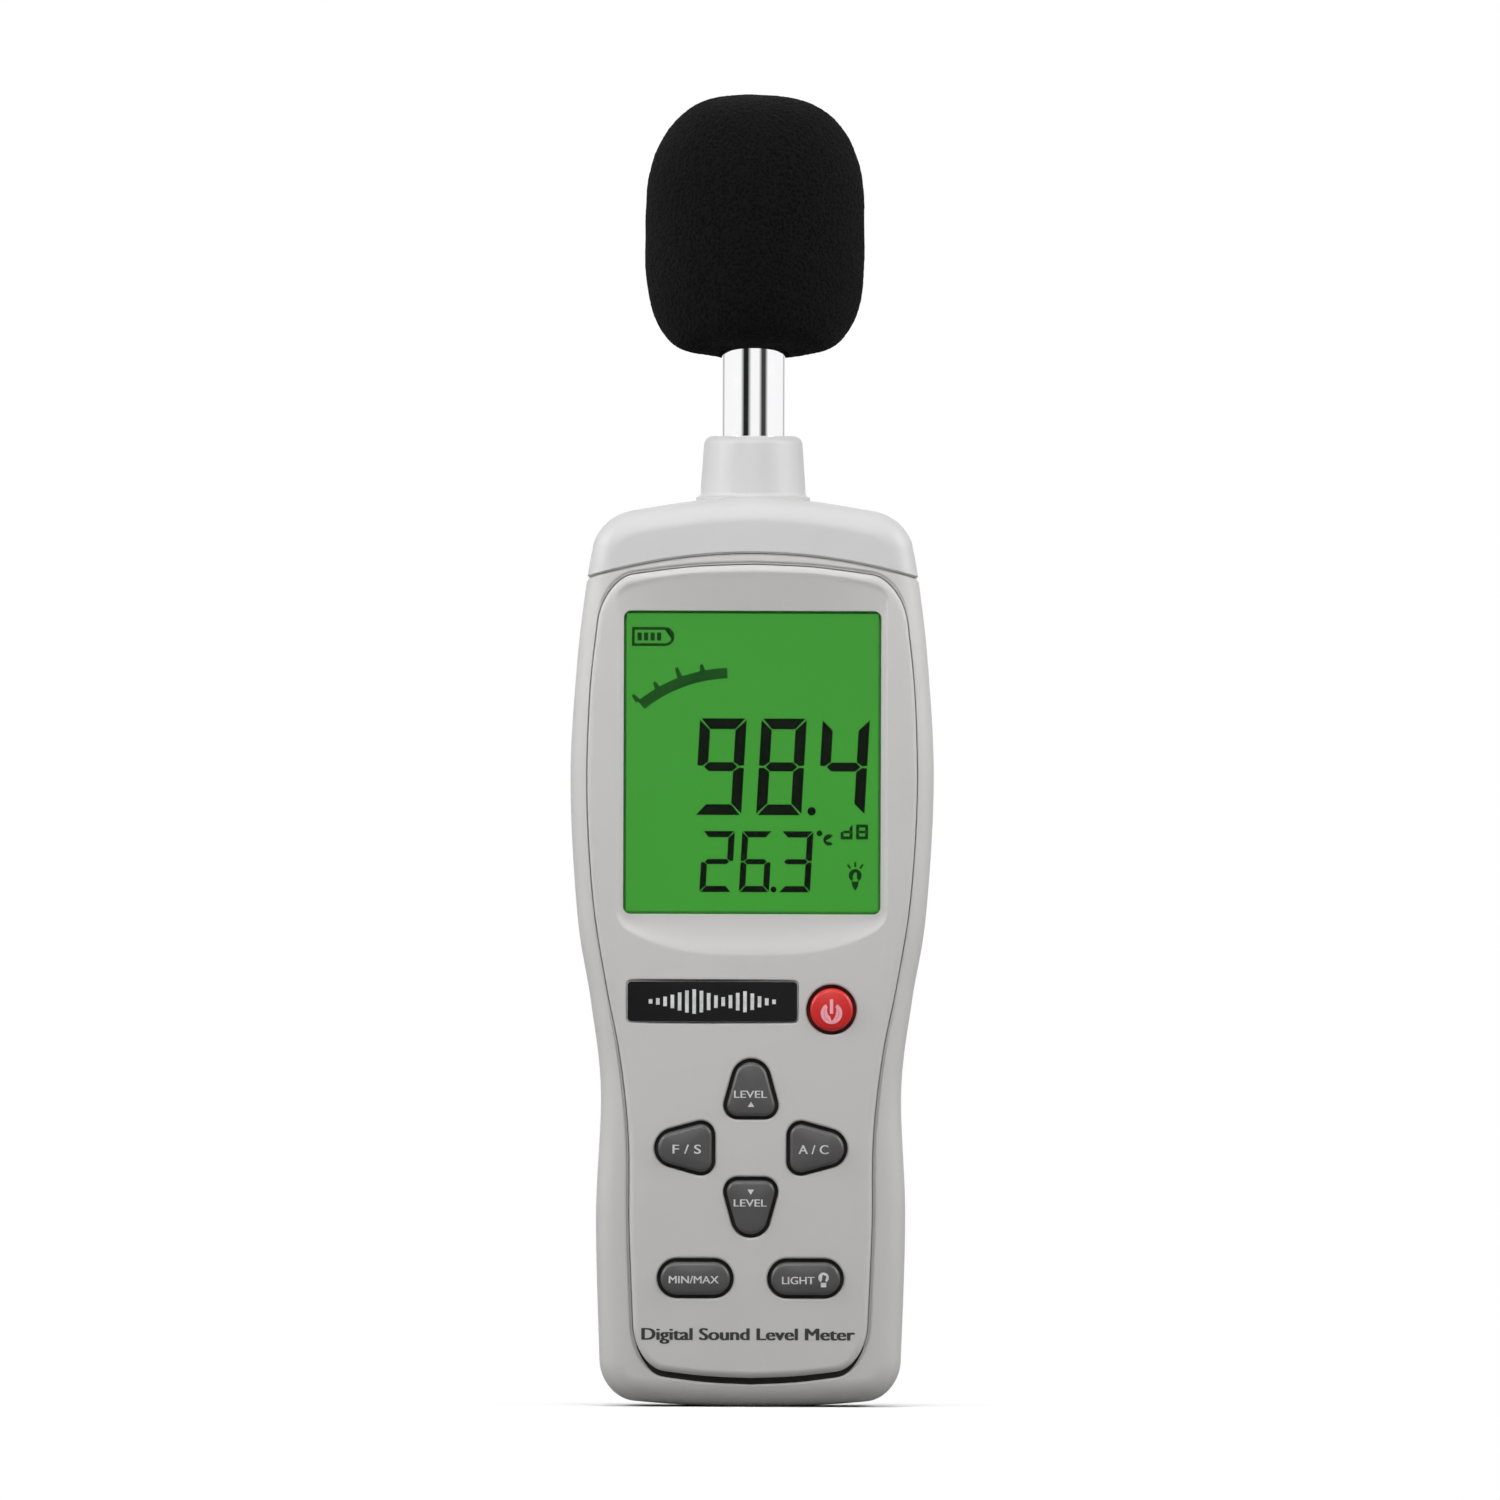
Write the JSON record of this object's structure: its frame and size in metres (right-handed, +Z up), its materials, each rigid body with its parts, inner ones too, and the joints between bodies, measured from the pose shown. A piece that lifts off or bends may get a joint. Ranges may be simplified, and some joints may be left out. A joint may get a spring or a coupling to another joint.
{
  "type": "sound level meter",
  "caption": "Hand-held sound level meter with a waisted grey case, a large display, rubber keys, and a capsule microphone on a chrome tube under a pull-off foam windscreen.",
  "frame": {"origin": "middle of the bottom end, on the microphone's axis", "axes": "+Z up the long axis towards the microphone; the display faces -Y; +X is to the right of someone reading the display"},
  "size_m": [0.0726, 0.044, 0.2624],
  "materials": {
    "shell_plastic": "light grey moulded plastic with a fine satin grain",
    "cap_plastic": "paler grey moulded plastic, satin",
    "key_rubber": "dark grey silicone rubber, slightly glossy",
    "power_rubber": "red silicone rubber",
    "foam": "black open-cell foam",
    "chrome": "polished chrome plate",
    "clear": "clear hard-coated window",
    "lcd_green": "liquid crystal glass over a green backlight",
    "white_plastic": "white moulded plastic",
    "black_plastic": "black plastic",
    "board": "green solder mask",
    "steel": "bright zinc-plated steel",
    "brass": "turned brass",
    "silicone": "grey silicone rubber",
    "blue_plastic": "glossy blue plastic",
    "battery_jacket": "dark printed metal jacket",
    "red_wire": "red wire insulation",
    "label": "printed foil label"
  },
  "bodies": {
    "case": {"amp_chip": "black_plastic", "backlight_led": "white_plastic", "battery": "battery_jacket", "battery_snap": "black_plastic", "battery_wire_black": "black_plastic", "battery_wire_red": "red_wire", "cap_screw_1": "steel", "cap_screw_2": "steel", "capacitor": "black_plastic", "case_screw_1": "steel", "case_screw_2": "steel", "case_screw_3": "steel", "case_screw_4": "steel", "crystal": "steel", "display_lens": "clear", "front_panel": "shell_plastic", "front_shell": "shell_plastic", "keypad_mat": "silicone", "lcd_frame": "white_plastic", "lcd_glass": "lcd_green", "light_guide": "white_plastic", "main_pcb": "board", "mcu_chip": "black_plastic", "mic_cable": "black_plastic", "mic_capsule": "steel", "mic_connector": "white_plastic", "mic_grid": "steel", "mic_nut": "brass", "mic_tube": "chrome", "name_plate": "label", "pcb_screw_1": "steel", "pcb_screw_2": "steel", "pcb_screw_3": "steel", "pcb_screw_4": "steel", "preamp_pcb": "board", "rear_label": "label", "rear_shell": "shell_plastic", "thermistor": "black_plastic", "top_cap": "cap_plastic", "trimmer_body": "blue_plastic", "tripod_insert": "brass", "zebra_strip": "silicone"},
    "windscreen": {"windscreen": "foam"},
    "battery_door": {"battery_door": "shell_plastic", "battery_pad": "silicone"},
    "trimmer_rotor": {"trimmer_rotor": "brass"},
    "key_power": {"key_power": "power_rubber", "pill_power": "black_plastic"},
    "key_level_up": {"key_level_up": "key_rubber", "pill_level_up": "black_plastic"},
    "key_level_down": {"key_level_down": "key_rubber", "pill_level_down": "black_plastic"},
    "key_time_weighting": {"key_time_weighting": "key_rubber", "pill_time_weighting": "black_plastic"},
    "key_frequency_weighting": {"key_frequency_weighting": "key_rubber", "pill_frequency_weighting": "black_plastic"},
    "key_min_max": {"key_min_max": "key_rubber", "pill_min_max": "black_plastic"},
    "key_light": {"key_light": "key_rubber", "pill_light": "black_plastic"}
  },
  "joints": [
    {"name": "power_press", "type": "slide", "parent": "case", "child": "key_power", "axis": [0, 1, 0], "range_m": [0, 0.0008], "stiffness_N_per_m": 80},
    {"name": "level_up_press", "type": "slide", "parent": "case", "child": "key_level_up", "axis": [0, 1, 0], "range_m": [0, 0.0008], "stiffness_N_per_m": 80},
    {"name": "level_down_press", "type": "slide", "parent": "case", "child": "key_level_down", "axis": [0, 1, 0], "range_m": [0, 0.0008], "stiffness_N_per_m": 80},
    {"name": "time_weighting_press", "type": "slide", "parent": "case", "child": "key_time_weighting", "axis": [0, 1, 0], "range_m": [0, 0.0008], "stiffness_N_per_m": 80},
    {"name": "frequency_weighting_press", "type": "slide", "parent": "case", "child": "key_frequency_weighting", "axis": [0, 1, 0], "range_m": [0, 0.0008], "stiffness_N_per_m": 80},
    {"name": "min_max_press", "type": "slide", "parent": "case", "child": "key_min_max", "axis": [0, 1, 0], "range_m": [0, 0.0008], "stiffness_N_per_m": 80},
    {"name": "light_press", "type": "slide", "parent": "case", "child": "key_light", "axis": [0, 1, 0], "range_m": [0, 0.0008], "stiffness_N_per_m": 80},
    {"name": "windscreen_pull", "type": "slide", "parent": "case", "child": "windscreen", "axis": [0, 0, 1], "range_m": [0, 0.04]},
    {"name": "battery_door_swing", "type": "hinge", "parent": "case", "child": "battery_door", "pos_m": [0, 0.016, 0.00985], "axis": [-1, 0, 0], "range_deg": [0, 75]},
    {"name": "trimmer_turn", "type": "hinge", "parent": "case", "child": "trimmer_rotor", "pos_m": [0.0271, -0.0039, 0.134], "axis": [1, 0, 0], "range_deg": [-130, 130]}
  ]
}
